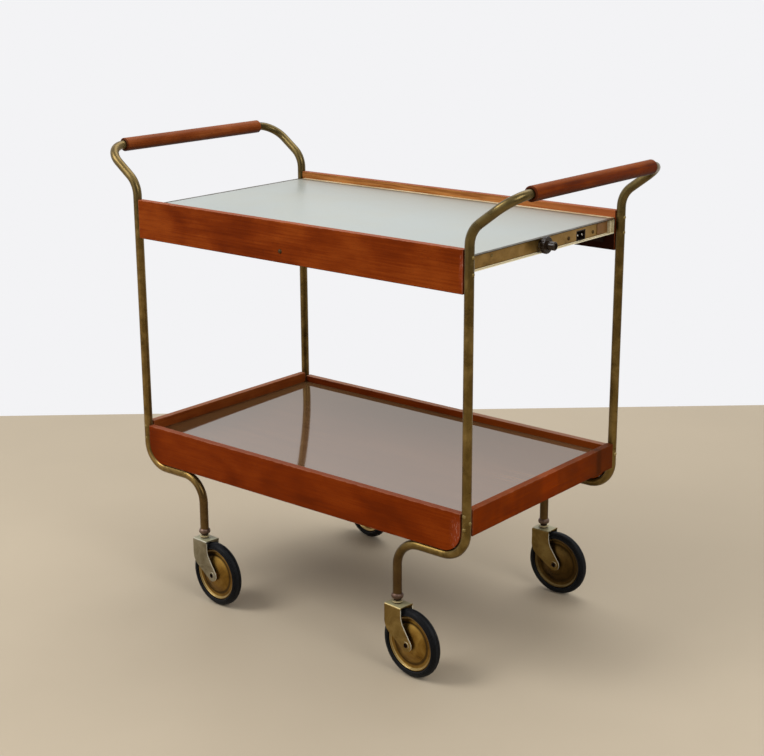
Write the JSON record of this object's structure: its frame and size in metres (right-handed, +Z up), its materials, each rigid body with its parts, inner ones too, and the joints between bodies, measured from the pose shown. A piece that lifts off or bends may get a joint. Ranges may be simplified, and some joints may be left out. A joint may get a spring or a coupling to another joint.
{
  "type": "food warmer cart",
  "caption": "Tea trolley with an electric warming plate as its upper tray, brass tube end frames, wood boards, a panelled lower shelf and swivel casters.",
  "frame": {"origin": "on the floor, at the middle of the cart's overall box", "axes": "+X along the cart towards the controls, -Y the front, +Z up"},
  "size_m": [0.946, 0.4845, 0.8575],
  "materials": {
    "aged_brass": "aged, satin",
    "screw_brass": "dull",
    "board_wood": "oiled teak, satin",
    "lower_wood": "oiled teak, satin",
    "grip_wood": "worn, satin",
    "warming_glass": "opaque, satin",
    "channel_brass": "aged, satin",
    "edge_trim": "satin",
    "pan_metal": "dull grey",
    "rail_steel": "zinc plated",
    "mineral_board": "matte",
    "insulation": "mineral wool",
    "ribbon_metal": "dull",
    "bakelite": "satin black-brown",
    "switch_plastic": "matte",
    "bright_metal": "bright",
    "lead_cover": "woven glass sleeve",
    "pale_plate": "satin",
    "laminate": "dark walnut, gloss",
    "core_board": "plywood",
    "fork_metal": "nickel worn to brass",
    "disc_brass": "pressed, satin",
    "tyre_rubber": "black rubber"
  },
  "bodies": {
    "cart": {"tube_front_left": "aged_brass", "tube_front_right": "aged_brass", "tube_rear_left": "aged_brass", "tube_rear_right": "aged_brass", "grip_left": "grip_wood", "grip_right": "grip_wood", "grip_spigots": "rail_steel", "upper_front_board": "board_wood", "lower_front_board": "lower_wood", "support_rail_front": "rail_steel", "edge_trim_front": "edge_trim", "upper_rear_board": "board_wood", "lower_rear_board": "lower_wood", "support_rail_rear": "rail_steel", "edge_trim_rear": "edge_trim", "lower_left_board": "lower_wood", "end_channel_left": "channel_brass", "lower_right_board": "lower_wood", "end_channel_right": "channel_brass", "upper_board_screws": "screw_brass", "lower_board_screws": "screw_brass", "lower_panel_core": "core_board", "lower_panel_top": "laminate", "rail_fasteners": "screw_brass", "heater_pan": "pan_metal", "glass_plate": "warming_glass", "channel_rivets": "screw_brass", "heating_element": "ribbon_metal", "element_carrier": "mineral_board", "insulation_blanket": "insulation", "thermostat_body": "switch_plastic", "thermostat_nut": "bright_metal", "inlet_housing": "bakelite", "inlet_pins": "bright_metal", "inlet_screws": "screw_brass", "internal_leads": "lead_cover", "blank_plate": "channel_brass", "corner_clip": "pale_plate", "caster_stem_fl": "aged_brass", "caster_stem_fr": "aged_brass", "caster_stem_rl": "aged_brass", "caster_stem_rr": "aged_brass"},
    "knob": {"thermostat_shaft": "bright_metal", "thermostat_knob": "bakelite"},
    "caster_fl": {"caster_fork_fl": "fork_metal", "wheel_axle_fl": "fork_metal"},
    "wheel_fl": {"wheel_discs_fl": "disc_brass", "tyre_fl": "tyre_rubber"},
    "caster_fr": {"caster_fork_fr": "fork_metal", "wheel_axle_fr": "fork_metal"},
    "wheel_fr": {"wheel_discs_fr": "disc_brass", "tyre_fr": "tyre_rubber"},
    "caster_rl": {"caster_fork_rl": "fork_metal", "wheel_axle_rl": "fork_metal"},
    "wheel_rl": {"wheel_discs_rl": "disc_brass", "tyre_rl": "tyre_rubber"},
    "caster_rr": {"caster_fork_rr": "fork_metal", "wheel_axle_rr": "fork_metal"},
    "wheel_rr": {"wheel_discs_rr": "disc_brass", "tyre_rr": "tyre_rubber"}
  },
  "joints": [
    {"name": "thermostat_turn", "type": "hinge", "parent": "cart", "child": "knob", "pos_m": [0.377, -0.013, 0.731], "axis": [1, 0, 0], "range_deg": [-270, 0]},
    {"name": "swivel_fl", "type": "hinge", "parent": "cart", "child": "caster_fl", "pos_m": [-0.235, -0.223, 0.1245], "axis": [0, 0, 1], "continuous": true},
    {"name": "roll_fl", "type": "hinge", "parent": "caster_fl", "child": "wheel_fl", "pos_m": [-0.20057, -0.22523, 0.0615], "axis": [0.0645, 0.9979, 0], "continuous": true},
    {"name": "swivel_fr", "type": "hinge", "parent": "cart", "child": "caster_fr", "pos_m": [0.235, -0.223, 0.1245], "axis": [0, 0, 1], "continuous": true},
    {"name": "roll_fr", "type": "hinge", "parent": "caster_fr", "child": "wheel_fr", "pos_m": [0.2694, -0.22565, 0.0615], "axis": [0.0767, 0.9971, 0], "continuous": true},
    {"name": "swivel_rl", "type": "hinge", "parent": "cart", "child": "caster_rl", "pos_m": [-0.235, 0.223, 0.1245], "axis": [0, 0, 1], "continuous": true},
    {"name": "roll_rl", "type": "hinge", "parent": "caster_rl", "child": "wheel_rl", "pos_m": [-0.20102, 0.21701, 0.0615], "axis": [0.1736, 0.9848, 0], "continuous": true},
    {"name": "swivel_rr", "type": "hinge", "parent": "cart", "child": "caster_rr", "pos_m": [0.235, 0.223, 0.1245], "axis": [0, 0, 1], "continuous": true},
    {"name": "roll_rr", "type": "hinge", "parent": "caster_rr", "child": "wheel_rr", "pos_m": [0.26949, 0.2236, 0.0615], "axis": [-0.0175, 0.9998, 0], "continuous": true}
  ]
}
